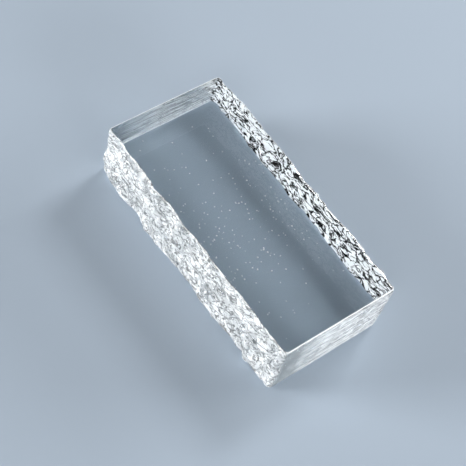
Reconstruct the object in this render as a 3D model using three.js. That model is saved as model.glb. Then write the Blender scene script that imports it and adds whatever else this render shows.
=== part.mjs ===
// Solid cast glass block for walls and screens.
//
// One piece of clear glass, poured into an iron mould. The two large bed faces and the two ends are
// smooth and flat, so that blocks can be bonded one on another and end to end. The two long sides,
// which show in the wall, carry a rugged relief like split ice: rounded lumps with furrows between
// them, on longer waves that also bend the edges of the bed faces.
//
// Millimetres, +Z up. The origin is the middle of the lower bed face, X runs along the block and
// Y across it.

import * as THREE from "three";
import { ImprovedNoise } from "three/addons/math/ImprovedNoise.js";

// Overall size: a block of the common 200 x 100 x 50 module, measured over its highest lumps.
const LENGTH = 200;
const WIDTH = 100;
const HEIGHT = 50;

// Fire-polished edges: the arris round each bed face, and the four upright corners.
const ARRIS_RADIUS = 2;
const CORNER_RADIUS = 4;

// Waves of the two long sides. They run out through the arrises.
const WAVE_LENGTH = 21;
const WAVE_HEIGHT = 26;
const WAVE_SWING = 1.8; // how far the skin swings out and in

// Lumps that ride on the waves, and grow lower towards the arrises and corners.
const LUMP_LENGTH = 12;
const LUMP_HEIGHT = 11;
const LUMP_DEPTH = 4.2; // from the top of a lump to the foot of a dome one lump wide
const LUMP_UNEVENNESS = 0.7; // how far the tops lie above and below their mean, in LUMP_DEPTH
const LUMP_SCATTER = 0.9; // how far the lumps lie from even rows, in lumps
const LUMP_DRIFT = 5; // how far the rows of lumps wander
const FURROW_FILL = 0.04; // how much the bottom of a furrow is filled, in LUMP_DEPTH
const CALM_MARGIN = 8; // how far from an arris or corner the lumps begin to grow lower
const CALM_SHARE = 0.35; // what is left of them there

// Spacing of the lattice that the surface is built on.
const COLUMN_SPACING = 2.6;
const ROW_SPACING = 2.3;

// Each long side has noise of its own, and so has each use of it. A draw is one value of the noise,
// taken so far from its neighbours that it looks random.
const FRONT = 0.5;
const BACK = 100.5;
const FOR_WAVES = 10;
const FOR_DRIFT_X = 20;
const FOR_DRIFT_Z = 30;
const FOR_LUMP_X = 40;
const FOR_LUMP_Z = 50;
const FOR_LUMP_TOP = 60;
const DRAW_SPACING = 7.3;

const noise = new ImprovedNoise();

function draw(column, row, layer) {
  return noise.noise(column * DRAW_SPACING, row * DRAW_SPACING, layer);
}

// Height of the lumps, about 1 at the top of a tall one. Each lump is a dome with a place and a
// height of its own, and a furrow runs where two domes meet. u and v count lumps along the block
// and up its side.
function lumps(u, v, side) {
  const domes = [];
  for (let column = Math.floor(u) - 1; column <= Math.floor(u) + 2; column += 1) {
    for (let row = Math.floor(v) - 1; row <= Math.floor(v) + 2; row += 1) {
      const middleU = column + LUMP_SCATTER * draw(column, row, side + FOR_LUMP_X);
      const middleV = row + LUMP_SCATTER * draw(column, row, side + FOR_LUMP_Z);
      const top = 1 + LUMP_UNEVENNESS * draw(column, row, side + FOR_LUMP_TOP);
      domes.push(top - (middleU - u) ** 2 - (middleV - v) ** 2);
    }
  }
  const blend = domes.reduce((sum, dome) => sum + Math.exp(dome / FURROW_FILL), 0);
  return FURROW_FILL * Math.log(blend);
}

// How far a place on a long side lies behind a level in front of all its relief.
function reliefDepth(x, z, side) {
  const u = x / WAVE_LENGTH;
  const v = z / WAVE_HEIGHT;
  const wave = noise.noise(u, v, side + FOR_WAVES);
  const driftX = LUMP_DRIFT * noise.noise(u, v, side + FOR_DRIFT_X);
  const driftZ = LUMP_DRIFT * noise.noise(u, v, side + FOR_DRIFT_Z);
  const lump = lumps((x + driftX) / LUMP_LENGTH, (z + driftZ) / LUMP_HEIGHT, side);
  const toEdge = Math.min(LENGTH / 2 - Math.abs(x), z, HEIGHT - z);
  const growth = THREE.MathUtils.smoothstep(toEdge, 0, CALM_MARGIN);
  const share = THREE.MathUtils.lerp(CALM_SHARE, 1, growth);
  return LUMP_DEPTH * share * (1 - lump) - WAVE_SWING * wave;
}

// Where the lattice's lines cross one dimension of the block: close together over the roundings at
// both ends, and even between them.
function stations(size, start, roundings, spacing) {
  const near = [0, ...roundings];
  const last = near[near.length - 1];
  const count = Math.max(1, Math.round((size - 2 * last) / spacing));
  const step = (size - 2 * last) / count;
  const even = Array.from({ length: count - 1 }, (_, i) => last + step * (i + 1));
  const far = near.map((place) => size - place).reverse();
  return [...near, ...even, ...far].map((place) => start + place);
}

// Bends the square corner of a section into a quarter circle. a and b are how far a point lies past
// the two lines where the rounding starts.
function roundOff(a, b) {
  if (a <= 0 || b <= 0) return [a, b];
  const share = Math.max(a, b) / Math.hypot(a, b);
  return [a * share, b * share];
}

// Rounds the upright corners in plan, and then the arrises.
function softenEdges(point) {
  const cornerX = LENGTH / 2 - CORNER_RADIUS;
  const cornerY = WIDTH / 2 - CORNER_RADIUS;
  const [pastX, pastY] = roundOff(Math.abs(point.x) - cornerX, Math.abs(point.y) - cornerY);
  const inCorner = pastX > 0 && pastY > 0;
  const outward = inCorner ? Math.hypot(pastX, pastY) : Math.max(pastX, pastY);

  const arrisStart = CORNER_RADIUS - ARRIS_RADIUS;
  const levelStart = HEIGHT / 2 - ARRIS_RADIUS;
  const level = point.z - HEIGHT / 2;
  const [past, rise] = roundOff(outward - arrisStart, Math.abs(level) - levelStart);
  const eased = arrisStart + past;
  const scale = inCorner ? eased / outward : 1;
  const easedX = pastX === outward ? eased : pastX * scale;
  const easedY = pastY === outward ? eased : pastY * scale;

  point.x = Math.sign(point.x) * (cornerX + easedX);
  point.y = Math.sign(point.y) * (cornerY + easedY);
  point.z = HEIGHT / 2 + Math.sign(level) * (levelStart + rise);
}

// A box whose faces are lattices with lines at the given stations.
function latticeBox(columns, across, rows) {
  const geometry = new THREE.BoxGeometry(
    1, 1, 1, columns.length - 1, across.length - 1, rows.length - 1,
  );
  const positions = geometry.getAttribute("position");
  const at = (share, places) => places[Math.round((share + 0.5) * (places.length - 1))];
  for (let i = 0; i < positions.count; i += 1) {
    const x = at(positions.getX(i), columns);
    const y = at(positions.getY(i), across);
    const z = at(positions.getZ(i), rows);
    positions.setXYZ(i, x, y, z);
  }
  return geometry;
}

function depthAt(positions, i, side) {
  return reliefDepth(positions.getX(i), positions.getZ(i), side);
}

// Sinks one half of the block's skin by the relief of its long side, until the highest lump just
// reaches the full width. The skin moves across the block only, so the beds and the ends stay flat
// and their rims follow the lumps.
function carveSide(positions, way, side) {
  const own = [];
  for (let i = 0; i < positions.count; i += 1) {
    if (Math.sign(positions.getY(i)) === way) own.push(i);
  }
  const onWall = own.filter((i) => Math.abs(positions.getY(i)) === WIDTH / 2);
  const least = Math.min(...onWall.map((i) => depthAt(positions, i, side)));
  for (const i of own) {
    positions.setY(i, positions.getY(i) - way * (depthAt(positions, i, side) - least));
  }
}

// Splits each cell of a long side's lattice along the diagonal that lies closer to the relief, so
// that furrows run clean in every direction. A cell has the corners a, b, c and d in turn, and
// comes split from b to d.
function splitAlongRelief(geometry, face, side) {
  const positions = geometry.getAttribute("position");
  const corners = geometry.getIndex().array;
  for (let i = face.start; i < face.start + face.count; i += 6) {
    const [a, b, , , c, d] = corners.subarray(i, i + 6);
    const middleX = (positions.getX(a) + positions.getX(c)) / 2;
    const middleZ = (positions.getZ(a) + positions.getZ(c)) / 2;
    const aim = reliefDepth(middleX, middleZ, side);
    const depths = [a, b, c, d].map((corner) => depthAt(positions, corner, side));
    const missAC = Math.abs((depths[0] + depths[2]) / 2 - aim);
    const missBD = Math.abs((depths[1] + depths[3]) / 2 - aim);
    if (missAC < missBD) corners.set([a, b, c, a, c, d], i);
  }
}

function glassBlockGeometry() {
  const arris = [ARRIS_RADIUS * (1 - Math.tan(Math.PI / 8)), ARRIS_RADIUS];
  const corner = [...arris, (ARRIS_RADIUS + CORNER_RADIUS) / 2, CORNER_RADIUS];
  const geometry = latticeBox(
    stations(LENGTH, -LENGTH / 2, corner, COLUMN_SPACING),
    stations(WIDTH, -WIDTH / 2, corner, WIDTH),
    stations(HEIGHT, 0, arris, ROW_SPACING),
  );
  const positions = geometry.getAttribute("position");
  const point = new THREE.Vector3();
  for (let i = 0; i < positions.count; i += 1) {
    softenEdges(point.fromBufferAttribute(positions, i));
    positions.setXYZ(i, point.x, point.y, point.z);
  }
  const [, , backFace, frontFace] = geometry.groups;
  carveSide(positions, -1, FRONT);
  carveSide(positions, 1, BACK);
  splitAlongRelief(geometry, frontFace, FRONT);
  splitAlongRelief(geometry, backFace, BACK);
  geometry.computeVertexNormals();
  return geometry;
}

const clearGlass = new THREE.MeshStandardMaterial({
  color: 0xdcecec,
  roughness: 0.04,
  metalness: 0,
  transparent: true,
  opacity: 0.35,
});

const glassBlock = new THREE.Mesh(glassBlockGeometry(), clearGlass);
glassBlock.name = "glass_block";

const part = new THREE.Group();
part.add(glassBlock);

export default part;
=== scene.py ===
import math
import random

import bpy
from mathutils import Matrix, Vector


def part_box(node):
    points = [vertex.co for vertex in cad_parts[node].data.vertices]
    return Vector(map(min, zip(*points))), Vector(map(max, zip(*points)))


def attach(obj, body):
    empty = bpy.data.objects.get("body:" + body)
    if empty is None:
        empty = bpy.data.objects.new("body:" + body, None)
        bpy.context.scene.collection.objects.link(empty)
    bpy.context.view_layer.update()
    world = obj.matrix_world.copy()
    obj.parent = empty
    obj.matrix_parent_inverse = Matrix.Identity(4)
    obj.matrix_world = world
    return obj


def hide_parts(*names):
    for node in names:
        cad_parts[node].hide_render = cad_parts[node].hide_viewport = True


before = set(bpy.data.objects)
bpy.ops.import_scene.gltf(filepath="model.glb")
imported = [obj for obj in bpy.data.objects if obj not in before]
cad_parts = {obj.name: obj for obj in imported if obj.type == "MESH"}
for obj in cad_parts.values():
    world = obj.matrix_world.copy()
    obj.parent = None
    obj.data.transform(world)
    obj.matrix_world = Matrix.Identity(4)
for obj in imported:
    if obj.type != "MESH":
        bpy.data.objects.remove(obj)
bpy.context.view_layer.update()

# The camera looks down on the block over one corner, from about 57 degrees above the floor, and is
# rolled a little, so that the block's length runs from the upper left to the lower right.
CAMERA_PLACE = Vector((0.3180, -0.4417, 0.8369))
CAMERA_RIGHT = Vector((0.58635, 0.78740, 0.19023))
CAMERA_UP = Vector((-0.74139, 0.42701, 0.51770))
CAMERA_LENS = 110.8  # in millimetres, as the sensor is
SENSOR_WIDTH = 36

bpy.ops.object.camera_add(location=CAMERA_PLACE)
camera = bpy.context.active_object
camera.name = "camera"
camera.data.sensor_width = SENSOR_WIDTH
camera.data.lens = CAMERA_LENS
turn = Matrix((CAMERA_RIGHT, CAMERA_UP, CAMERA_RIGHT.cross(CAMERA_UP))).transposed()
camera.rotation_euler = turn.to_euler()
bpy.context.scene.camera = camera

# The block is one piece of clear, nearly colourless glass, cast in an iron mould. The solid already
# has its outline, arrises, waves and lumps. A copy of it is merged and refined, so that it can take
# the fine relief that the solid is too coarse for.
MERGE_REACH = 1e-6
QUAD_ANGLE = math.radians(60)  # two triangles become one face up to this bend, and this skew
REFINE_LEVELS = 2

bpy.ops.object.select_all(action="DESELECT")
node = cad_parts["glass_block"]
node.select_set(True)
bpy.context.view_layer.objects.active = node
bpy.ops.object.duplicate()
block = bpy.context.active_object
block.name = "cast_block"
block.data.materials.clear()
low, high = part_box("glass_block")

bpy.ops.object.mode_set(mode="EDIT")
bpy.ops.mesh.select_all(action="SELECT")
bpy.ops.mesh.remove_doubles(threshold=MERGE_REACH)
bpy.ops.mesh.tris_convert_to_quads(face_threshold=QUAD_ANGLE, shape_threshold=QUAD_ANGLE)
bpy.ops.object.mode_set(mode="OBJECT")

refine = block.modifiers.new("refine", "SUBSURF")
refine.levels = REFINE_LEVELS
refine.render_levels = REFINE_LEVELS
bpy.ops.object.modifier_apply(modifier=refine.name)

# The mould leaves curled ridges and furrows on the two long sides, like those of split ice, and a
# finer crinkle over them. Both fade out just before the arrises and corners, which are rounded by
# fire and show as smooth waving lines.
RIDGE = 0.014  # from one ridge to the next
RIDGE_DEPTH = 0.0018
RIDGE_CURL = 0.8
CRINKLE = 0.005
CRINKLE_DEPTH = 0.0006
CRINKLE_CURL = 1.2
RELIEF_MEAN = -0.6  # of the noise, so that the skin stays where the solid has it
SIDE_MARGIN = 0.003  # how far the relief takes to fade out
LEAST_SIDE_TURN = 0.35  # how far the normal of a long side points across the block, at the least
HOLLOW_ANGLE = math.radians(60)  # from the normal to the next vertices: the shading is 0 here
OPEN_ANGLE = math.radians(110)  # and 1 here

sides = block.vertex_groups.new(name="long_sides")
for vertex in block.data.vertices:
    if abs(vertex.normal.y) < LEAST_SIDE_TURN:
        continue
    at = vertex.co
    edge = min(at.z - low.z, high.z - at.z, at.x - low.x, high.x - at.x)
    sides.add([vertex.index], min(1.0, max(0.0, edge / SIDE_MARGIN)), "REPLACE")


def press(name, spacing, depth, curl):
    """Presses a field of curled ridges into the long sides."""
    bpy.ops.object.empty_add()
    grid = bpy.context.active_object
    grid.scale = (spacing, spacing, spacing)
    ridges = bpy.data.textures.new(name, "DISTORTED_NOISE")
    ridges.noise_basis = "VORONOI_F2_F1"
    ridges.noise_distortion = "IMPROVED_PERLIN"
    ridges.noise_scale = 1.0
    ridges.distortion = curl
    relief = block.modifiers.new(name, "DISPLACE")
    relief.texture = ridges
    relief.texture_coords = "OBJECT"
    relief.texture_coords_object = grid
    relief.vertex_group = sides.name
    relief.strength = depth
    relief.mid_level = RELIEF_MEAN
    bpy.context.view_layer.update()
    bpy.ops.object.select_all(action="DESELECT")
    block.select_set(True)
    bpy.context.view_layer.objects.active = block
    bpy.ops.object.modifier_apply(modifier=name)
    bpy.data.objects.remove(grid)


press("ridges", RIDGE, RIDGE_DEPTH, RIDGE_CURL)
bpy.ops.geometry.color_attribute_add(
    name="furrows", domain="POINT", data_type="FLOAT_COLOR", color=(1, 1, 1, 1)
)
bpy.ops.paint.vertex_color_dirt(
    blur_strength=1.0, blur_iterations=1, clean_angle=OPEN_ANGLE, dirt_angle=HOLLOW_ANGLE, normalize=False
)
press("crinkle", CRINKLE, CRINKLE_DEPTH, CRINKLE_CURL)
bpy.ops.object.shade_smooth()

# The glass itself is clear all through. It has a slight blue-green tint, which shows only where
# light has come a long way through it.
GLASS_IOR = 1.51
TINT = (0.85, 0.95, 0.96, 1)
TINT_DENSITY = 2.0

glass = bpy.data.materials.new("clear_cast_glass")
glass.use_nodes = True
nodes = glass.node_tree.nodes
links = glass.node_tree.links
clear = nodes["Principled BSDF"]
clear.inputs["Roughness"].default_value = 0.0
clear.inputs["IOR"].default_value = GLASS_IOR
clear.inputs["Transmission Weight"].default_value = 1.0
tint = nodes.new("ShaderNodeVolumeAbsorption")
tint.inputs["Color"].default_value = TINT
tint.inputs["Density"].default_value = TINT_DENSITY
links.new(tint.outputs["Volume"], nodes["Material Output"].inputs["Volume"])

# Which part of the skin a place belongs to: the long sides, the ends, or the rims of the bed faces.
# Each is 0 off the part and 1 on it. A part is told from how far its normal points some way: it
# begins at the first value of the pair, and is all there at the second.
SIDE_TURN = (0.25, 0.5)  # across the block
END_TURN = (0.6, 0.9)  # along it
RIM_TURN = (0.06, 0.16)  # away from all three axes
RIM_LEVEL = 0.0245  # how far the rims lie above and below mid-height
RIM_HALF_WIDTH = 0.0018

coordinates = nodes.new("ShaderNodeTexCoord")
place = coordinates.outputs["Object"]


def feed(socket, value):
    """Sets a socket to a number, or links another socket to it."""
    if isinstance(value, (int, float)):
        socket.default_value = value
    else:
        links.new(value, socket)


def calc(operation, first, second=0.0):
    node = nodes.new("ShaderNodeMath")
    node.operation = operation
    feed(node.inputs[0], first)
    feed(node.inputs[1], second)
    return node.outputs["Value"]


def fade(value, start, end, low=0.0, high=1.0):
    """Goes softly from low to high while the value goes from start to end."""
    node = nodes.new("ShaderNodeMapRange")
    node.interpolation_type = "SMOOTHSTEP"
    feed(node.inputs["Value"], value)
    feed(node.inputs["From Min"], start)
    feed(node.inputs["From Max"], end)
    feed(node.inputs["To Min"], low)
    feed(node.inputs["To Max"], high)
    return node.outputs["Result"]


def axes(vector):
    node = nodes.new("ShaderNodeSeparateXYZ")
    links.new(vector, node.inputs["Vector"])
    return node.outputs


facing = [calc("ABSOLUTE", axis) for axis in axes(coordinates.outputs["Normal"])]
_, across, level = axes(place)
on_side = fade(facing[1], *SIDE_TURN)
on_end = fade(facing[0], *END_TURN)
from_middle = calc("ABSOLUTE", calc("SUBTRACT", level, (low.z + high.z) / 2))
from_rim = calc("ABSOLUTE", calc("SUBTRACT", from_middle, RIM_LEVEL))
near_rim = calc("LESS_THAN", from_rim, RIM_HALF_WIDTH)
turned = calc("SUBTRACT", 1.0, calc("MAXIMUM", calc("MAXIMUM", facing[0], facing[1]), facing[2]))
on_rim = calc("MULTIPLY", fade(turned, *RIM_TURN), near_rim)

# Between the ridges the sides are split by fine curled furrows, drawn out along the block. Shade is
# painted into them: grey where the skin is seen from outside the glass, and black and larger from inside.
FURROW_DEPTHS = (0.02, 0.05)  # the hollows between ridges, in the shading taken from the mesh
CELL_LINE = (0.015, 0.09)  # where a line between two cells is fully dark, and where it ends
CURL_LINE = (0.01, 0.06)
SWAY_SCALE = 150  # the cells are pushed about by a noise
SWAY_REACH = (0.005, 0.005, 0.005)
UNBROKEN_SCALE = 150  # and their lines break off where another noise is high
UNBROKEN_LEVELS = (0.5, 0.62)

# Each pair: seen from outside the glass, and from inside.
CELL_SCALE = (270, 140)
CELL_FAINTNESS = (0.45, 0.0)
CURL_SCALE = (245, 130)
DRAWN_OUT = (0.4, 0.55)
# the painted shade in the furrows
FURROW_PAINTED_SHADE = (0.72, 1.0)

inside = nodes.new("ShaderNodeNewGeometry").outputs["Backfacing"]


def outside_inside(values):
    """The first value where the skin is seen from outside, and the second from inside."""
    return calc("ADD", values[0], calc("MULTIPLY", inside, values[1] - values[0]))


def noise(scale, detail, roughness=0.5, distortion=0.0, vector=place):
    node = nodes.new("ShaderNodeTexNoise")
    feed(node.inputs["Scale"], scale)
    feed(node.inputs["Detail"], detail)
    feed(node.inputs["Roughness"], roughness)
    feed(node.inputs["Distortion"], distortion)
    links.new(vector, node.inputs["Vector"])
    return node.outputs


def swayed(scale, detail, reach):
    """The place, pushed about by a noise."""
    node = nodes.new("ShaderNodeVectorMath")
    node.operation = "MULTIPLY_ADD"
    links.new(noise(scale, detail)["Color"], node.inputs[0])
    node.inputs[1].default_value = reach
    links.new(place, node.inputs[2])
    return node.outputs["Vector"]


def stretched(vector, along, across=1.0, up=1.0):
    """Draws a pattern out, by a number below 1, or packs it closer."""
    scale = nodes.new("ShaderNodeCombineXYZ")
    feed(scale.inputs["X"], along)
    feed(scale.inputs["Y"], across)
    feed(scale.inputs["Z"], up)
    node = nodes.new("ShaderNodeVectorMath")
    node.operation = "MULTIPLY"
    links.new(vector, node.inputs[0])
    links.new(scale.outputs["Vector"], node.inputs[1])
    return node.outputs["Vector"]


def thin_line(pattern, inner, outer):
    """0 on the lines where a noise is 0.5, and 1 away from them."""
    return fade(calc("ABSOLUTE", calc("SUBTRACT", pattern, 0.5)), inner, outer)


hollows = nodes.new("ShaderNodeVertexColor")
hollows.layer_name = "furrows"
hollow = nodes.new("ShaderNodeSeparateColor")
links.new(hollows.outputs["Color"], hollow.inputs["Color"])
ridge = fade(hollow.outputs["Red"], *FURROW_DEPTHS)

cells = nodes.new("ShaderNodeTexVoronoi")
cells.feature = "DISTANCE_TO_EDGE"
feed(cells.inputs["Scale"], outside_inside(CELL_SCALE))
drawn_out = outside_inside(DRAWN_OUT)
cell_place = stretched(swayed(SWAY_SCALE, detail=2, reach=SWAY_REACH), drawn_out)
links.new(cell_place, cells.inputs["Vector"])
unbroken = fade(noise(UNBROKEN_SCALE, detail=3)["Fac"], *UNBROKEN_LEVELS)
cell = calc("MAXIMUM", fade(cells.outputs["Distance"], *CELL_LINE), unbroken)
cell = calc("MAXIMUM", cell, outside_inside(CELL_FAINTNESS))
curl_noise = noise(
    outside_inside(CURL_SCALE), detail=1.5, distortion=0.8, vector=stretched(place, drawn_out)
)
curl = thin_line(curl_noise["Fac"], *CURL_LINE)
line = calc("MINIMUM", cell, curl)
furrow_shade_mask = calc("SUBTRACT", 1.0, calc("MULTIPLY", ridge, line))
# Painted shade: the furrow lines are darkened in the colour, more where the skin is seen from inside.
furrow_painted_shade = calc("MULTIPLY", calc("MULTIPLY", furrow_shade_mask, on_side), outside_inside(FURROW_PAINTED_SHADE))

# The mould's skin leaves the long sides frosted white, unevenly: in soft patches, and in specks as
# fine as sand. From outside the furrows look clearer than the rest.
SPECKLE_SCALE = 700
SPECKLE_LEVELS = (0.2, 0.4)  # of a noise: bare glass below the first, full frost above the second
PATCH_SCALE = 55
PATCH_LEVELS = (0.36, 0.58)
THIN_PATCH = 0.4  # the share of the frost that a thin patch keeps
CLEAR_FURROW = 0.6  # the share of the frost that a furrow keeps
SIDE_FROST = (0.84, 0.97)  # seen from outside the glass, and from inside

specks = noise(SPECKLE_SCALE, detail=3, roughness=0.6, distortion=0.5)["Fac"]
speckles = fade(specks, *SPECKLE_LEVELS)
patches = fade(noise(PATCH_SCALE, detail=2)["Fac"], *PATCH_LEVELS, low=THIN_PATCH)
patches = calc("MAXIMUM", patches, inside)
clearer = calc("MAXIMUM", fade(line, 0.0, 1.0, low=CLEAR_FURROW), inside)
side_frost = calc("MULTIPLY", calc("MULTIPLY", speckles, patches), outside_inside(SIDE_FROST))
side_frost = calc("MULTIPLY", calc("MULTIPLY", side_frost, clearer), on_side)

# The ends are flat, but the glass folded as it filled the mould there: long, slightly swept streaks,
# white with fine lines of painted shade, that run level across the end. They clear up towards its front
# edge, and towards the back they break up into curls of painted shade like those of the sides.
SWEEP_SCALE = 12
SWEEP_REACH = (0, 0, 0.018)
STREAKS = (0, 26, 460)  # how close they lie, along each axis
STREAK_LEVELS = (0.40, 0.60)  # of a noise: between the streaks, and on them
BETWEEN_STREAKS = 0.3  # the share of the frost there
FINE_STREAKS = (0, 45, 800)
FINE_LINE = (0.003, 0.03)
ON_FINE_LINE = 0.4  # the share of the frost there
FRONT_CLEARING = (-0.046, 0.0)  # across the block, from near the front edge to mid-width
END_FROST = (0.04, 0.82)  # at the two
END_CURLS = (-0.01, 0.04)  # where across the block they begin, and where they are darkest
END_CURL_PAINTED_SHADE = 0.6
END_PAINTED_SHADE = 0.85

swept = swayed(SWEEP_SCALE, detail=1, reach=SWEEP_REACH)
streak = noise(1.0, detail=4, roughness=0.6, vector=stretched(swept, *STREAKS))["Fac"]
fine_streak = noise(1.0, detail=2, vector=stretched(swept, *FINE_STREAKS))["Fac"]
fine_streak = thin_line(fine_streak, *FINE_LINE)
streak_frost = fade(streak, *STREAK_LEVELS, low=BETWEEN_STREAKS)
end_frost = calc("MULTIPLY", streak_frost, fade(fine_streak, 0.0, 1.0, low=ON_FINE_LINE))
end_frost = calc("MULTIPLY", end_frost, fade(across, *FRONT_CLEARING, *END_FROST))
end_frost = calc("MULTIPLY", end_frost, on_end)
# Painted shade on the ends: along the fine lines, and on the curls towards the back.
on_curl = calc("SUBTRACT", 1.0, curl)
curl_painted_shade = calc("MULTIPLY", on_curl, fade(across, *END_CURLS, high=END_CURL_PAINTED_SHADE))
end_painted_shade = calc("MAXIMUM", calc("SUBTRACT", 1.0, fine_streak), curl_painted_shade)
end_painted_shade = calc("MULTIPLY", calc("MULTIPLY", end_painted_shade, on_end), END_PAINTED_SHADE)

# The rims of the bed faces are ground a little, so that the arrises show as bright lines. Frost of
# all three kinds scatters light back. Only where the sides and rims are seen from inside the block is
# most of it light that comes through from behind.
RIM_FROST = 0.95
FROST_WHITE = (0.97, 0.99, 1.0, 1)
# the colour of the painted shade, in the furrows and on the ends
PAINTED_SHADE_BLACK = (0.0, 0.0, 0.0, 1)
SCATTERED_ON = (0.08, 0.65)  # the share that comes through: elsewhere, and there
BUMP_DISTANCE = 0.001  # the heights are shares of this
GRAIN_SCALE = 900
GRAIN_HEIGHT = 0.03
LINE_HEIGHT = 0.2  # how far the skin between the furrows stands above them
SWELL_SCALE = 130
SWELL_HEIGHT = 0.4
STREAK_HEIGHT = 0.05

frost = calc("MAXIMUM", side_frost, end_frost)
frost = calc("MAXIMUM", frost, calc("MULTIPLY", on_rim, RIM_FROST))
# The skin's colour goes from frost white towards the painted shade's black.
shade = nodes.new("ShaderNodeMix")
shade.data_type = "RGBA"
feed(shade.inputs["Factor"], calc("MINIMUM", calc("ADD", furrow_painted_shade, end_painted_shade), 1.0))
shade.inputs["A"].default_value = FROST_WHITE
shade.inputs["B"].default_value = PAINTED_SHADE_BLACK

grain = noise(GRAIN_SCALE, detail=3, roughness=0.6, distortion=0.5)["Fac"]
grain = calc("MULTIPLY", grain, GRAIN_HEIGHT)
side_height = calc("ADD", grain, calc("MULTIPLY", line, LINE_HEIGHT))
swell = calc("MULTIPLY", noise(SWELL_SCALE, detail=2, distortion=1.0)["Fac"], SWELL_HEIGHT)
side_height = calc("ADD", side_height, swell)
end_height = calc("MULTIPLY", streak, STREAK_HEIGHT)
height = calc("ADD", calc("MULTIPLY", side_height, on_side), calc("MULTIPLY", end_height, on_end))
bump = nodes.new("ShaderNodeBump")
bump.inputs["Distance"].default_value = BUMP_DISTANCE
feed(bump.inputs["Height"], height)

scatter_back = nodes.new("ShaderNodeBsdfDiffuse")
scatter_on = nodes.new("ShaderNodeBsdfTranslucent")
for shader, colour in ((clear, "Base Color"), (scatter_back, "Color"), (scatter_on, "Color")):
    links.new(shade.outputs["Result"], shader.inputs[colour])
    links.new(bump.outputs["Normal"], shader.inputs["Normal"])
frosted = nodes.new("ShaderNodeMixShader")
from_inside = calc("MULTIPLY", inside, calc("MAXIMUM", on_side, near_rim))
feed(frosted.inputs["Fac"], fade(from_inside, 0.0, 1.0, *SCATTERED_ON))
links.new(scatter_back.outputs["BSDF"], frosted.inputs[1])
links.new(scatter_on.outputs["BSDF"], frosted.inputs[2])
skin = nodes.new("ShaderNodeMixShader")
feed(skin.inputs["Fac"], frost)
links.new(clear.outputs["BSDF"], skin.inputs[1])
links.new(frosted.outputs["Shader"], skin.inputs[2])
links.new(skin.outputs["Shader"], nodes["Material Output"].inputs["Surface"])

block.data.materials.append(glass)
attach(block, "root")
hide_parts("glass_block")

# Seeds: small air bubbles that were caught in the cast glass, most of them near the middle of its
# length. Each is a little drawn out. Its wall is opaque: a grey that is painted reflection, standing in
# for what a bubble's wall mirrors, with white glints painted on by a noise, under a soft real gloss.
SEED_COUNT = 180
SEED_RADII = (0.0003, 0.0006)
SEED_SHAPE = (1.25, 1.0, 0.9)
SEED_STRETCH = (0.8, 1.3)  # of each one's length, at random
SEED_SPREAD = 0.04  # along the block, from its middle
SEED_HALF_LENGTH = 0.094  # how far from the middle a seed may lie
SEED_HALF_WIDTH = 0.038
SEED_LEVELS = (0.004, 0.046)
# the painted glints, and the painted grey that stands in for what a bubble's wall mirrors
PAINTED_GLINT_SCALE = 900
PAINTED_GLINT_LEVELS = (0.35, 0.6)
PAINTED_WALL_GREY = (0.62, 0.68, 0.72, 1)
PAINTED_GLINT_WHITE = (1.0, 1.0, 1.0, 1)
WALL_ROUGHNESS = 0.2

bpy.ops.object.select_all(action="DESELECT")
bpy.ops.mesh.primitive_uv_sphere_add(segments=8, ring_count=5, radius=1.0, location=(0, 0, 0))
seed = bpy.context.active_object
bpy.ops.object.mode_set(mode="EDIT")
bpy.ops.mesh.select_all(action="SELECT")
bpy.ops.transform.resize(value=SEED_SHAPE)
bpy.ops.object.mode_set(mode="OBJECT")

chance = random.Random(7)
seeds = []
while len(seeds) < SEED_COUNT:
    along = chance.gauss(0.0, SEED_SPREAD)
    spot = (along, chance.uniform(-SEED_HALF_WIDTH, SEED_HALF_WIDTH), chance.uniform(*SEED_LEVELS))
    radius = chance.uniform(*SEED_RADII)
    if abs(along) > SEED_HALF_LENGTH:
        continue
    copy = seed.copy()
    copy.data = seed.data.copy()
    copy.location = spot
    copy.scale = (radius * chance.uniform(*SEED_STRETCH), radius, radius)
    copy.rotation_euler = (0, 0, chance.uniform(0, math.pi))
    bpy.context.collection.objects.link(copy)
    seeds.append(copy)
bpy.data.objects.remove(seed)
for copy in seeds:
    copy.select_set(True)
bpy.context.view_layer.objects.active = seeds[0]
bpy.ops.object.join()
seeds = bpy.context.active_object
seeds.name = "seeds"
bpy.ops.object.transform_apply(location=True, rotation=True, scale=True)
bpy.ops.object.shade_smooth()

wall = bpy.data.materials.new("seed_wall_painted_glints")
wall.use_nodes = True
nodes = wall.node_tree.nodes  # from here on the helpers build this material
links = wall.node_tree.links
on_wall = nodes.new("ShaderNodeTexCoord").outputs["Object"]
# Painted glints: white spots put on the grey wall by a noise.
painted_glints = nodes.new("ShaderNodeMix")
painted_glints.data_type = "RGBA"
painted_glint = noise(PAINTED_GLINT_SCALE, detail=2, vector=on_wall)["Fac"]
feed(painted_glints.inputs["Factor"], fade(painted_glint, *PAINTED_GLINT_LEVELS))
painted_glints.inputs["A"].default_value = PAINTED_WALL_GREY
painted_glints.inputs["B"].default_value = PAINTED_GLINT_WHITE
links.new(painted_glints.outputs["Result"], nodes["Principled BSDF"].inputs["Base Color"])
nodes["Principled BSDF"].inputs["Roughness"].default_value = WALL_ROUGHNESS
seeds.data.materials.append(wall)
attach(seeds, "root")

# The floor is plain, pale and matt. It lies a hair below the block, so that the floor and the lower
# bed face don't share a plane.
FLOOR_SIZE = 2.4
FLOOR_LEVEL = -0.0002
FLOOR_COLOUR = (0.38, 0.45, 0.53, 1)
FLOOR_ROUGHNESS = 0.9

bpy.ops.mesh.primitive_plane_add(size=FLOOR_SIZE, location=(0, 0, FLOOR_LEVEL))
floor = bpy.context.active_object
floor.name = "floor"
paper = bpy.data.materials.new("pale_paper")
paper.use_nodes = True
paper.node_tree.nodes["Principled BSDF"].inputs["Base Color"].default_value = FLOOR_COLOUR
paper.node_tree.nodes["Principled BSDF"].inputs["Roughness"].default_value = FLOOR_ROUGHNESS
floor.data.materials.append(paper)

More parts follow.
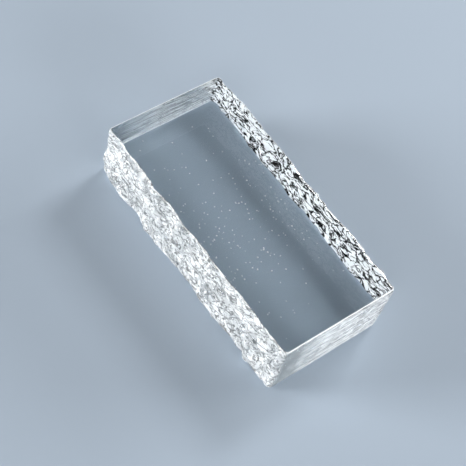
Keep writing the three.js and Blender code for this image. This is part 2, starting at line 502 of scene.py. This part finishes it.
# Softboxes stand low round the block and light its upright sides. Two smaller ones stand higher, one
# behind the block and one in front. None stands where the flat top would mirror it to the camera.
SOFTBOX_DISTANCE = 2.0
SOFTBOX_AIM = Vector((0, 0, 0.02))


def softbox(name, azimuth, elevation, size, radiance):
    """Adds a lamp that faces the block. Angles in degrees, size in metres."""
    azimuth = math.radians(azimuth)
    elevation = math.radians(elevation)
    reach = SOFTBOX_DISTANCE * math.cos(elevation)
    rise = SOFTBOX_DISTANCE * math.sin(elevation)
    spot = Vector((reach * math.cos(azimuth), reach * math.sin(azimuth), rise))
    bpy.ops.object.light_add(type="AREA", location=spot)
    lamp = bpy.context.active_object
    lamp.name = name
    lamp.data.shape = "RECTANGLE"
    lamp.data.size, lamp.data.size_y = size
    lamp.data.energy = radiance * math.pi * size[0] * size[1]
    lamp.rotation_euler = (SOFTBOX_AIM - spot).to_track_quat("-Z", "Y").to_euler()


softbox("key_softbox", azimuth=105, elevation=40, size=(0.56, 0.56), radiance=18)
softbox("back_softbox", azimuth=75, elevation=15, size=(1.6, 0.64), radiance=11.5)
softbox("front_softbox", azimuth=-125, elevation=16, size=(0.8, 0.72), radiance=24)
softbox("front_high_softbox", azimuth=-60, elevation=42, size=(0.64, 0.64), radiance=5)
softbox("right_softbox", azimuth=-4, elevation=15, size=(0.96, 0.8), radiance=9.5)

# The studio round the block is pale near the floor and dark overhead. The clear top mirrors the dark
# part, so that one sees into the glass.
PALE = (0.50, 0.53, 0.57, 1)
DARK = (0.015, 0.015, 0.018, 1)
DUSK = (0.2, 0.45)  # where the pale part ends and where the dark one begins: 1 is straight up

world = bpy.data.worlds.new("studio")
bpy.context.scene.world = world
world.use_nodes = True
nodes = world.node_tree.nodes
links = world.node_tree.links
split = nodes.new("ShaderNodeSeparateXYZ")
links.new(nodes.new("ShaderNodeTexCoord").outputs["Generated"], split.inputs["Vector"])
sky = nodes.new("ShaderNodeValToRGB")
sky.color_ramp.elements[0].position = DUSK[0]
sky.color_ramp.elements[0].color = PALE
sky.color_ramp.elements[1].position = DUSK[1]
sky.color_ramp.elements[1].color = DARK
links.new(split.outputs["Z"], sky.inputs["Fac"])
links.new(sky.outputs["Color"], nodes["Background"].inputs["Color"])

# Light that goes through the glass turns and bounces many times before it comes out again. None of
# it is blurred on the way.
BOUNCES = 32

paths = bpy.context.scene.cycles
paths.max_bounces = BOUNCES
paths.transmission_bounces = BOUNCES
paths.glossy_bounces = BOUNCES
paths.blur_glossy = 0.0

bpy.context.scene.view_settings.view_transform = "Standard"
